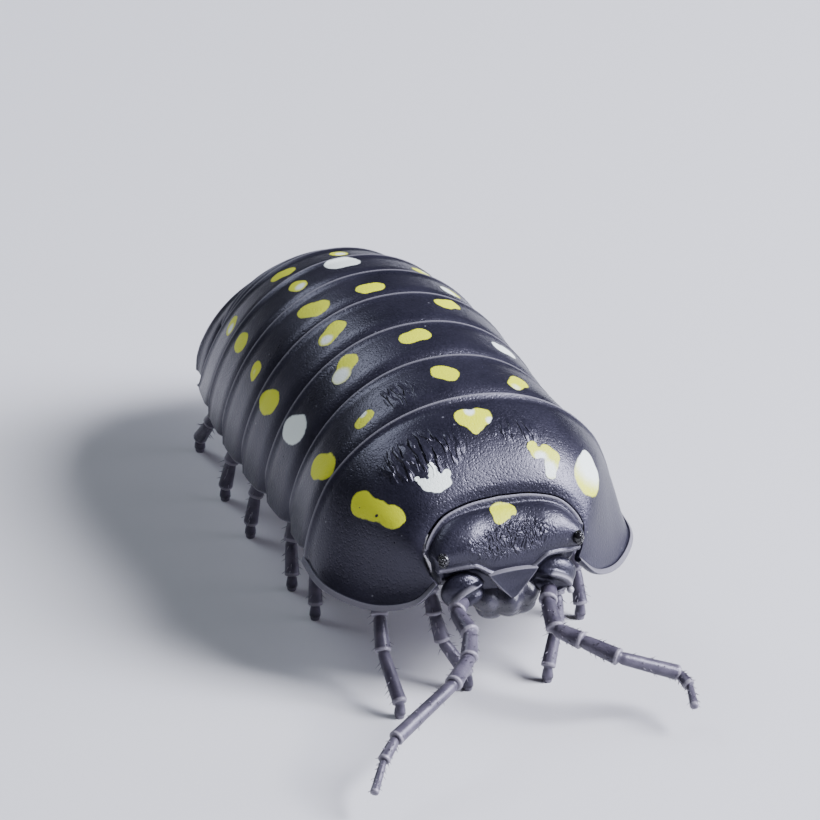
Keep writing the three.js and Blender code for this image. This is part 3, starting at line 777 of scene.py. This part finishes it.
# %% Make the head
def head_shape(s, u):
    size = min(abs(s) / SIDE_SHARE, 1.0)
    points, crest, line = head_ring(size * HEAD_SPAN)
    place = Line([*points, points[0]]).at(u)
    distance = min((place - crest).length, (place - line).length * 1.2)
    closing = max(abs(s) - SIDE_SHARE, 0.0) / (1 - SIDE_SHARE)
    if closing:
        middle = sum(points, Vector()) / len(points)
        turn = closing * math.pi / 2
        inwards = 1 - math.cos(turn)
        place = place.lerp(vec(place.x, middle.y, middle.z), inwards)
        place.x = lerp(place.x + 0.1 * math.sin(turn), middle.x + 0.1, inwards)
        distance += closing * 0.2
    return (flipped(place) if s < 0 else place), distance


head_bm = surface_from_grid(110, 130, head_shape, edge_rows=0.0)
bmesh.ops.remove_doubles(head_bm, verts=head_bm.verts, dist=0.004)
bmesh.ops.recalc_face_normals(head_bm, faces=head_bm.faces)
HEAD_SPOT = [
    spot(
        [(-0.1, -7.66, 4.92, 0.27), (0.12, -7.68, 4.9, 0.25), (-0.16, -7.84, 4.78, 0.17)],
        bites=[(0.22, -7.9, 4.75, 0.12)],
    )
]
CROWN_WORMS = ((0.15, -8.1, 4.3), (0.55, 1.7, 0.6), (0.1, -0.7, -0.7))
head_finish = shell_finish("head_shell", HEAD_SPOT, worms=CROWN_WORMS)
head = piece("head_capsule", head_bm, head_finish, ["head"], levels=1)
print("head", len(head.data.vertices), "points")

# %% [markdown]
# In the middle of the face a flat triangle hangs point down. It is the same grid again, drawn together
# towards its tip and dished a little, with a wall behind it and a thin pale edge, which is a painted
# highlight.

# %% Make the face triangle
# The face's pale edge colour is a painted highlight: it lights the triangle's edge and the ledge on each
# lobe.
FACE_EDGE_HIGHLIGHT = (0.25, 0.24, 0.27, 1)
face_finish = shell_finish("face_shell", [], rim_colour=FACE_EDGE_HIGHLIGHT)


def triangle_shape(s, u):
    half = lerp(0.7, 0.07, u**1.12)
    z = lerp(3.63, 2.84, u) - 0.05 * s * s * (1 - u)
    dish = 0.05 * (1 - s * s) * math.sin(math.pi * min(u * 1.15, 1.0))
    distance = min((1 - abs(s)) * half * 0.8, u * 0.8, (1 - u) * 1.5)
    return vec(half * s, -8.56 + dish - 0.04 * u, z), distance + 0.055


triangle_bm = surface_from_grid(28, 24, triangle_shape)
bmesh.ops.reverse_faces(triangle_bm, faces=triangle_bm.faces)
piece("face_triangle", triangle_bm, face_finish, wall=0.2, levels=1)

# %% [markdown]
# Beside the triangle a lobe covers the root of each feeler. It is a ball, pressed into shape: wherever a
# point lies near the lip's line it is drawn forward, so the lip stands out as a ledge, and below it a hollow
# is left.

# %% Make the lobes over the feelers
def marked_mesh(mark):
    bm = bmesh.new()
    return bm, bm.verts.layers.float.new(mark)


def ball(bm, centre, half, around=24, rings=14):
    matrix = Matrix.Translation(Vector(centre)) @ Matrix.Diagonal(Vector((*half, 1.0)))
    made = bmesh.ops.create_uvsphere(bm, u_segments=around, v_segments=rings, radius=1.0, matrix=matrix)
    return made["verts"]


COVER_CENTRE = (1.28, -8.22, 3.08)
COVER_HALF = (0.62, 0.3, 0.52)
LEDGE = Line(
    [
        (0.9, -8.5, 3.3),
        (1.2, -8.58, 3.24),
        (1.48, -8.56, 3.09),
        (1.66, -8.42, 2.87),
        (1.7, -8.25, 2.64),
    ]
)
LEDGE_WIDTH = 0.075
ledge_places = [LEDGE.at(k / 40) for k in range(41)]
for side, name in SIDES:
    bm, mark = marked_mesh("rim")
    for vert in ball(bm, COVER_CENTRE, COVER_HALF, 56, 40):
        near = min(ledge_places, key=lambda q: (q.xz - vert.co.xz).length)
        far = (near.xz - vert.co.xz).length
        front = ease((-8.2 - vert.co.y) / 0.12)
        lip = front * math.exp(-((far / LEDGE_WIDTH) ** 2))
        hollow = front * math.exp(-(((near.z - vert.co.z - 0.2) / 0.12) ** 2))
        vert.co += vec(0, 0.12 * hollow - 0.17 * lip, 0.05 * lip)
        to_end = abs(ledge_places.index(near) / 20 - 1)
        # Near the ledge this mark gives the face's pale edge colour: a painted highlight along the ledge.
        vert[mark] = far * 0.8 + (1 - front) * 0.4 + 0.1 * ease((to_end - 0.55) / 0.45)
        vert.co.x *= side
    bmesh.ops.recalc_face_normals(bm, faces=bm.faces)
    piece(f"feeler_lobe_{name}", bm, face_finish, levels=1)
print("face", len(ALL_PIECES))

# %% [markdown]
# Each eye is a small patch of beads at the side of the head. A ball is the patch's fill, and the beads
# stand on its outer side in short rows.

# %% Make the eyes
EYE_DARK = (0.004, 0.004, 0.005, 1)
EYE_LIGHT = (0.012, 0.011, 0.014, 1)
BEAD_ROWS = 5
BEAD_START = -76
BEAD_STEP = 28
BEAD_RADIUS = 0.042
eye_finish = Finish("eye_bead")
eye_finish.set(colour=eye_finish.colours(eye_finish.blotch(6.0), EYE_DARK, EYE_LIGHT))
eye_finish.set(rough=eye_finish.blotch(20.0) * 0.06 + 0.08, gloss=0.7)
for side, name in SIDES:
    bm = bmesh.new()
    wanted = TO_FRAME @ vec(side * (EYE_CENTRE.x - 0.02), EYE_CENTRE.y - 0.25, EYE_CENTRE.z - 0.02)
    nearest = min((v.co for v in head.data.vertices), key=lambda co: (co - wanted).length)
    centre = TO_FRAME.inverted() @ nearest
    patch_half = EYE_HALF * 0.72
    ball(bm, centre, patch_half)
    for row in range(BEAD_ROWS):
        for k in range(BEAD_ROWS):
            tilt = math.radians(BEAD_STEP * (row - 2))
            turn = math.radians(BEAD_START + BEAD_STEP * (k + 0.5 * (row % 2)))
            level = math.cos(tilt)
            out = vec(side * level * math.cos(turn), level * math.sin(turn), math.sin(tilt))
            ball(bm, centre + out * patch_half * 0.96, [BEAD_RADIUS] * 3, 10, 6)
    piece(f"eye_{name}_beads", bm, eye_finish, [f"eye_{name}"])
print("eyes", len(ALL_PIECES))

# %% [markdown]
# Legs and feelers are jointed tubes. One ring is drawn and pulled out again and again. At each joint the
# ring narrows to a neck, and the joint itself is pale. Stations give a place, a radius and how pale it is.

# %% Pull a tube through stations
def ring_matrix(at, along, radius, side):
    side = (side - along * side.dot(along)).normalized()
    other = along.cross(side)
    turn = Matrix((side, other, along)).transposed().to_4x4()
    return Matrix.Translation(at) @ turn @ Matrix.Scale(radius, 4), side


def tube(bm, mark, stations, level_ends, sides=14):
    side = vec(1, 0.3, 0)
    ring, previous = None, None
    for k, (at, radius, pale) in enumerate(stations):
        before = stations[max(k - 1, 0)][0]
        after = stations[min(k + 1, len(stations) - 1)][0]
        along = (after - before).normalized()
        if level_ends and k in (0, len(stations) - 1):
            along = vec(0, 0, -1)
        matrix, side = ring_matrix(at, along, radius, side)
        if ring is None:
            first = bmesh.ops.create_circle(bm, cap_ends=True, radius=1.0, segments=sides, matrix=matrix)
            verts = first["verts"]
            ring = bm.edges[:]
        else:
            pulled = bmesh.ops.extrude_edge_only(bm, edges=ring)["geom"]
            verts = [g for g in pulled if isinstance(g, bmesh.types.BMVert)]
            own = set(verts)
            ring = [g for g in pulled if isinstance(g, bmesh.types.BMEdge) and set(g.verts) <= own]
            bmesh.ops.transform(bm, matrix=matrix @ previous.inverted(), verts=verts)
        for vert in verts:
            vert[mark] = pale
        previous = matrix
    bmesh.ops.contextual_create(bm, geom=ring)


# Along one article: how far from its start or its end in millimetres, radius and paleness
FROM_START = ((0.0, 0.66, 0.2), (0.05, 0.8, 0.0), (0.14, 0.87, 0.0))
SHARES = ((0.45, 0.94, 0.0), (0.7, 0.98, 0.0))
TO_END = ((0.13, 1.02, 0.0), (0.085, 1.05, 0.7), (0.045, 1.07, 1.0), (0.012, 0.98, 0.9), (0.0, 0.7, 0.3))
HAIR_ROOT = 0.014
HAIR_TIP = 0.003
HAIR_PALE = 0.6


def limb_stations(joints, radii, tip):
    """Each article ends in a thin pale lip, from which the next one comes out narrower."""
    stations = []
    for k, radius in enumerate(radii):
        start, end = joints[k], joints[k + 1]
        length = (end - start).length
        for far, share, pale in FROM_START:
            stations.append((start.lerp(end, far / length), radius * share, pale))
        for place, share, pale in SHARES:
            stations.append((start.lerp(end, place), radius * share, pale))
        for far, share, pale in TO_END:
            stations.append((end.lerp(start, far / length), radius * share, pale))
    stations[-1] = (joints[-1], tip, 0.3)
    return stations


def hairs(bm, mark, joints, radii, rng, count, length, sweep):
    """Short stiff bristles on the sides of the articles, leaning towards the tip."""
    for k in range(1, len(radii)):
        start, end = joints[k], joints[k + 1]
        along = (end - start).normalized()
        for _ in range(count):
            t = rng.uniform(0.1, 0.95)
            around = vec(rng.uniform(-1, 1), rng.uniform(-1, 1), rng.uniform(-1, 1))
            out = (around - along * around.dot(along)).normalized()
            lean = (out + along * sweep).normalized()
            size = length * rng.uniform(0.7, 1.2)
            root = start.lerp(end, t) + out * radii[k] * 0.9
            turned = lean.to_track_quat("Z", "Y").to_matrix().to_4x4()
            cone = bmesh.ops.create_cone(
                bm,
                cap_ends=True,
                segments=4,
                radius1=HAIR_ROOT,
                radius2=HAIR_TIP,
                depth=size,
                matrix=Matrix.Translation(root + lean * size / 2) @ turned,
            )
            for vert in cone["verts"]:
                vert[mark] = HAIR_PALE


def limb(name, node, joints, radii, stations, level_ends, rng, hair):
    """One feeler or leg: a tube with its bristles, whose count, length and lean are given as one."""
    bm, mark = marked_mesh("pale")
    tube(bm, mark, stations, level_ends)
    hairs(bm, mark, joints, radii, rng, *hair)
    bmesh.ops.recalc_face_normals(bm, faces=bm.faces)
    piece(name, bm, limb_finish, [node])


# %% [markdown]
# Limbs are satin lilac-grey horn, paler at the joints. A finish shared by all of them keeps them alike.

# %% The limbs' finish
LIMB_DARK = (0.044, 0.039, 0.057, 1)
LIMB_LIGHT = (0.095, 0.085, 0.114, 1)
LIMB_PALE = (0.30, 0.28, 0.32, 1)
LIMB_SHEEN = (0.9, 0.87, 1.0, 1)
limb_finish = Finish("limb_horn")
limb_pale = limb_finish.mark("pale").step(0.1, 0.95)
limb_cloud = limb_finish.blotch(2.2, 3.0)
limb_grain = limb_finish.blotch(18.0, 3.0)
limb_base = limb_finish.colours(limb_cloud.step(0.3, 0.7), LIMB_DARK, LIMB_LIGHT)
limb_finish.set(colour=limb_finish.colours(limb_pale * 0.7, limb_base, LIMB_PALE))
limb_finish.set(rough=limb_grain * 0.15 + 0.3, tint=LIMB_SHEEN, gloss=0.5)
limb_finish.bumps((limb_grain, 0.008), (limb_cloud, 0.02))

# %% [markdown]
# The feelers are placed as on the solids, by the length, turn and slope of each article from the base, and
# they are drawn a fifth thinner. The first article starts inside its lobe.

# %% Make the feelers
FEELER_RADII = [r * 0.8 for r in (0.3, 0.3, 0.29, 0.28, 0.25, 0.2, 0.14)]
FEELER_HAIR = (26, 0.11, 0.9)
LEFT_ARTICLES = [(0.55, -18, -58), (0.84, -5, -32), (0.8, 40, -9), (1.08, 41, -10)]
LEFT_ARTICLES += [(1.75, 83, -22), (0.52, 14, -17), (0.76, -14, -16)]
RIGHT_ARTICLES = [(0.59, 70, -40), (0.88, -4, -14), (0.83, 25, -21), (1.18, 43, -7)]
RIGHT_ARTICLES += [(2.45, 60, -13), (0.76, 46, -20), (1.02, 36, -25)]
FEELERS = {
    "left": (1, vec(0.98, -8.5, 3.12), LEFT_ARTICLES),
    "right": (-1, vec(-1.2, -8.45, 3.1), RIGHT_ARTICLES),
}
for name, (side, base, articles) in FEELERS.items():
    joints = [base]
    for length, turn, slope in articles:
        yaw, pitch = math.radians(turn) * side, math.radians(slope)
        step = vec(math.sin(yaw) * math.cos(pitch), -math.cos(yaw) * math.cos(pitch), math.sin(pitch))
        joints.append(joints[-1] + step * length)
    joints[0] = vec(side * 1.2, -8.2, 2.84).lerp(joints[1], 0.2)
    stations = limb_stations(joints, FEELER_RADII, 0.05)
    rng = random.Random(7 + side)
    limb(f"feeler_{name}", f"antenna_{name}", joints, FEELER_RADII, stations, False, rng, FEELER_HAIR)
print("feelers", len(ALL_PIECES))

# %% [markdown]
# Seven pairs of legs hang from the belly, each with its knee tucked inside the flap and its foot further
# out, about a quarter thinner than the solids' legs. The front pair reaches forward under the face, and the
# two sides are at different points of a step. A row gives where its legs start along the body, and then
# each leg's knee and foot.

# %% Make the legs
LEG_RADII = [r * 0.76 for r in (0.36, 0.34, 0.29, 0.27, 0.25, 0.21)]
LEG_HAIR = (14, 0.17, 0.7)
KNEE_Z = 2.5
ANKLE_Z = 0.42
FOOT = ((0.14, 0.13, 0.3), (0.05, 0.13, 0.5), (0.0, 0.12, 0.5))
LEG_ROWS = [
    (-6.2, {"left": ((1.75, -7.25), (1.15, -8.4)), "right": ((-1.75, -7.2), (-1.0, -8.1))}),
    (-4.1, {"left": ((2.95, -4.9), (3.3, -5.6)), "right": ((-2.95, -6.55), (-3.22, -8.85))}),
    (-2.15, {"left": ((2.95, -3.1), (3.45, -4.0)), "right": ((-2.95, -2.8), (-3.4, -3.3))}),
    (-0.5, {"left": ((2.95, -0.7), (3.4, -1.0)), "right": ((-2.95, -1.0), (-3.4, -1.6))}),
    (1.15, {"left": ((2.95, 1.5), (3.4, 1.75)), "right": ((-2.95, 1.3), (-3.4, 1.5))}),
    (2.7, {"left": ((2.9, 3.3), (3.3, 4.2)), "right": ((-2.9, 3.2), (-3.3, 3.7))}),
    (4.0, {"left": ((2.7, 4.9), (2.95, 6.2)), "right": ((-2.7, 5.0), (-2.95, 6.6))}),
]
BELLY_Z = HEM_Z + 1.05
for index, (root_y, sides) in enumerate(LEG_ROWS):
    root_z = BELLY_Z - GAP + (0.15 if index == 0 else 0.0)
    for name, (knee, foot) in sides.items():
        side = math.copysign(1.0, foot[0])
        bend, sole = vec(*knee, KNEE_Z), vec(*foot, 0.0)
        hip = vec(side * 1.87, lerp(root_y, knee[1], 0.12), root_z - 0.4)
        joints = [vec(side * 1.75, root_y, root_z + 0.15), hip, bend]
        joints += [bend.lerp(sole, t) + vec(side * 0.16 * math.sin(math.pi * t), 0, 0) for t in (0.2, 0.48)]
        joints += [sole + vec(0, 0, ANKLE_Z), sole]
        stations = limb_stations(joints, LEG_RADII, 0.12)
        stations[-5:] = [(sole + vec(0, 0, up), radius, pale) for up, radius, pale in FOOT]
        rng = random.Random(100 + index + int(side))
        label = f"{name}_{index + 1}"
        limb(f"leg_{label}", f"pereopod_{label}", joints, LEG_RADII[:-1], stations, True, rng, LEG_HAIR)
print("legs", len(ALL_PIECES))

# %% [markdown]
# Under the face are the lip, the jaws and the pair of plates that covers them from below. The lip is a bent
# grid. Balls pressed together make the others' soft bulges, and the lower rim of each is paler.

# %% Make the mouthparts
MOUTH_DARK = (0.022, 0.021, 0.032, 1)
MOUTH_LIGHT = (0.055, 0.052, 0.072, 1)
MOUTH_PALE = (0.22, 0.21, 0.19, 1)
mouth_finish = Finish("mouth_horn")
mouth_cloud = mouth_finish.blotch(3.0, 3.0)
mouth_low = mouth_finish.mark("pale").step(0.2, 0.9)
mouth_base = mouth_finish.colours(mouth_cloud.step(0.3, 0.7), MOUTH_DARK, MOUTH_LIGHT)
mouth_finish.set(colour=mouth_finish.colours(mouth_low * 0.7, mouth_base, MOUTH_PALE))
mouth_finish.set(rough=mouth_finish.blotch(16.0) * 0.2 + 0.2, gloss=0.7)
mouth_finish.bumps((mouth_finish.blotch(14.0, 3.0), 0.01))


def lip_shape(s, u):
    """The broad lip: three soft swellings side by side, and a thin lower edge."""
    fade = 1 - abs(s) ** 3
    bulge = math.sin(math.pi * (0.1 + 0.74 * u)) * (0.33 + 0.09 * math.cos(3 * math.pi * s))
    low = 2.25 + 0.3 * s * s
    flare = 0.05 * ease((u - 0.86) / 0.14)
    y = -8.14 - bulge * fade + 0.25 * s * s - flare
    return vec(s, y, lerp(2.98, low, u)), 1 - ease((1 - u) / 0.1)


bm = surface_from_grid(48, 30, lip_shape, "pale", 0.0)
piece("mouth_lip", bm, mouth_finish, wall=0.1, levels=1)
# The jaws in front and the plates behind them, each as a centre and half sizes
BULGES = (((0.42, -8.12, 2.38), (0.42, 0.3, 0.32)), ((0.32, -7.75, 2.2), (0.38, 0.5, 0.3)))
bm, mark = marked_mesh("pale")
for (x, y, z), half in BULGES:
    for side in (1, -1):
        for vert in ball(bm, (side * x, y, z), half):
            vert[mark] = 0.6 * ease((z - vert.co.z) / (0.5 * half[2]) - 1)
piece("mouth_plates", bm, mouth_finish, ["mouthparts"], levels=1)

# %% [markdown]
# A glassy bead sits at the lower outer corner of the lobe over each feeler.

# %% Make the glassy beads
GLASS_GREY = (0.30, 0.29, 0.33, 1)
GLASS_PALE = (0.50, 0.49, 0.52, 1)
GLASS_RADIUS = 0.1
bm = bmesh.new()
for side in (1, -1):
    ball(bm, (side * 1.66, -8.48, 2.7), [GLASS_RADIUS] * 3, 16, 10)
bead_finish = Finish("glassy_bead")
bead_cloud = bead_finish.blotch(8.0)
bead_finish.set(colour=bead_finish.colours(bead_cloud, GLASS_GREY, GLASS_PALE))
bead_finish.set(rough=bead_cloud * 0.1 + 0.12, gloss=0.6)
piece("root_beads", bm, bead_finish, levels=1)

# %% [markdown]
# The belly is one soft skin from the head to the tail, ribbed where the body bends. It fills the underside
# between the flaps.

# %% Make the belly
BELLY_DARK = (0.16, 0.145, 0.15, 1)
BELLY_LIGHT = (0.34, 0.31, 0.29, 1)
belly_finish = Finish("belly_skin")
belly_cloud = belly_finish.blotch(1.6, 3.0).step(0.25, 0.75)
belly_finish.set(colour=belly_finish.colours(belly_cloud, BELLY_DARK, BELLY_LIGHT))
belly_finish.set(rough=belly_finish.blotch(12.0) * 0.2 + 0.42, gloss=0.4)
belly_finish.bumps((belly_finish.blotch(10.0, 3.0), 0.015))
RIBS = [-6.9, -4.9, -2.97, -1.28, 0.38, 2.0, 3.55, 4.95, 5.4, 5.85, 6.4, 7.0]


def belly_shape(s, u):
    y = lerp(RIBS[0], RIBS[-1], u)
    nearest = min(abs(y - rib) for rib in RIBS)
    half = lerp(2.35, 1.5, ease((y - 3.5) / 3.5)) + (0.25 if y > -6 else 0.0) * (1 - abs(s))
    rise = 0.35 * ease((-5.6 - y) / 1.2) - 0.45 * ease((y - 5) / 2)
    fold = 0.1 * math.exp(-((nearest / 0.12) ** 2))
    z = BELLY_Z + 0.06 + rise + fold - 0.12 * (1 - s * s) + 0.25 * s**4
    return vec(half * s, y, z), NO_RIM


bm = surface_from_grid(40, 150, belly_shape, edge_rows=0.0)
piece("belly_skin", bm, belly_finish, wall=0.12)
print("belly", len(ALL_PIECES))

# %% [markdown]
# Under the tail five pairs of small rounded plates overlap from front to back. Each is a short grid drawn
# in towards its free end, with a thin wall, and they get smaller towards the tail's tip.

# %% Make the plates under the tail
def flap_shape(side, y, half):
    def shape(s, u):
        drawn_in = (1 - 0.8 * u**4) ** 0.5
        x = side * (0.06 + half * (1 + s * drawn_in))
        return vec(x, y + 0.85 * u - 0.12 * s * s, 3.58 - 0.42 * u + 0.1 * s * s), NO_RIM

    return shape


FLAP_PAIRS = 5
FLAP_START = 4.55
FLAP_STEP = 0.52
for k in range(FLAP_PAIRS):
    for side, name in SIDES:
        bm = surface_from_grid(20, 14, flap_shape(side, FLAP_START + FLAP_STEP * k, 0.68 - 0.06 * k))
        bmesh.ops.recalc_face_normals(bm, faces=bm.faces)
        piece(f"tail_flap_{name}_{k + 1}", bm, belly_finish, wall=0.08, levels=1)
print("tail flaps", len(ALL_PIECES))

# %% [markdown]
# The set: a plain pale floor and soft studio light. A panel high at the animal's left makes the sheen on
# the crown and the first plate, a lower one carries it down that side, and a small one behind lights the
# back.

# %% Floor and light
bm = bmesh.new()
bmesh.ops.create_grid(bm, x_segments=1, y_segments=1, size=1.5)
floor_mesh = bpy.data.meshes.new("floor")
bm.to_mesh(floor_mesh)
bm.free()
floor = bpy.data.objects.new("floor", floor_mesh)
bpy.context.scene.collection.objects.link(floor)
floor_finish = Finish("floor_paper")
floor_finish.set(colour=(0.66, 0.66, 0.67, 1), rough=0.9, gloss=0.2)
floor_mesh.materials.append(floor_finish.material)

world = bpy.context.scene.world or bpy.data.worlds.new("studio")
bpy.context.scene.world = world
world.use_nodes = True
background = world.node_tree.nodes["Background"]
background.inputs["Color"].default_value = (0.62, 0.64, 0.74, 1)
background.inputs["Strength"].default_value = 0.12
PANEL_DISTANCE = 0.20


def panel(name, direction, size, power, colour):
    lamp = bpy.data.lights.new(name, "AREA")
    lamp.shape, lamp.size, lamp.size_y = "RECTANGLE", size[0], size[1]
    lamp.energy, lamp.color = power, colour
    made = bpy.data.objects.new(name, lamp)
    made.location = Vector(direction).normalized() * PANEL_DISTANCE
    made.rotation_euler = Vector(direction).to_track_quat("Z", "Y").to_euler()
    made.visible_camera = False
    bpy.context.scene.collection.objects.link(made)


panel("panel_key", (0.68, -0.40, 0.68), (0.085, 0.085), 1.2, (0.88, 0.89, 1.0))
panel("panel_side", (0.86, -0.38, 0.34), (0.12, 0.07), 0.42, (0.78, 0.78, 1.0))
panel("panel_back", (-0.30, 0.60, 0.74), (0.09, 0.07), 0.14, (0.80, 0.87, 1.0))
print("lights", len(bpy.data.lights))

# %% [markdown]
# The camera was fitted to pairs of features that are the same on both sides of the body. Its three axes
# and its place are in the drawing's own frame, and the long lens gives the picture's flat perspective.

# %% Camera
RIGHT = vec(0.925297, -0.378182, 0.028353)
UP = vec(0.15282, 0.440238, 0.884781)
BACK = vec(-0.34709, -0.814352, 0.465144)
CAMERA_PLACE = vec(-61.4858, -145.5822, 87.1178)
PICTURE_WIDTH = 820
FOCAL_IN_PIXELS = 6624.855
camera_data = bpy.data.cameras.new("camera")
camera_data.sensor_width = 36.0
camera_data.lens = FOCAL_IN_PIXELS / PICTURE_WIDTH * camera_data.sensor_width
camera_data.clip_start = 0.01
camera_data.clip_end = 10.0
camera = bpy.data.objects.new("camera", camera_data)
axes = Matrix((RIGHT, UP, BACK)).transposed().to_4x4()
camera.matrix_world = Matrix.Translation((CAMERA_PLACE + DATUM) * MM) @ axes
bpy.context.scene.collection.objects.link(camera)
bpy.context.scene.camera = camera
print("camera", [round(c, 4) for c in camera.location], "lens", round(camera_data.lens, 2))

# %% [markdown]
# The view layer is brought up to date.

# %% Finish
bpy.context.view_layer.update()
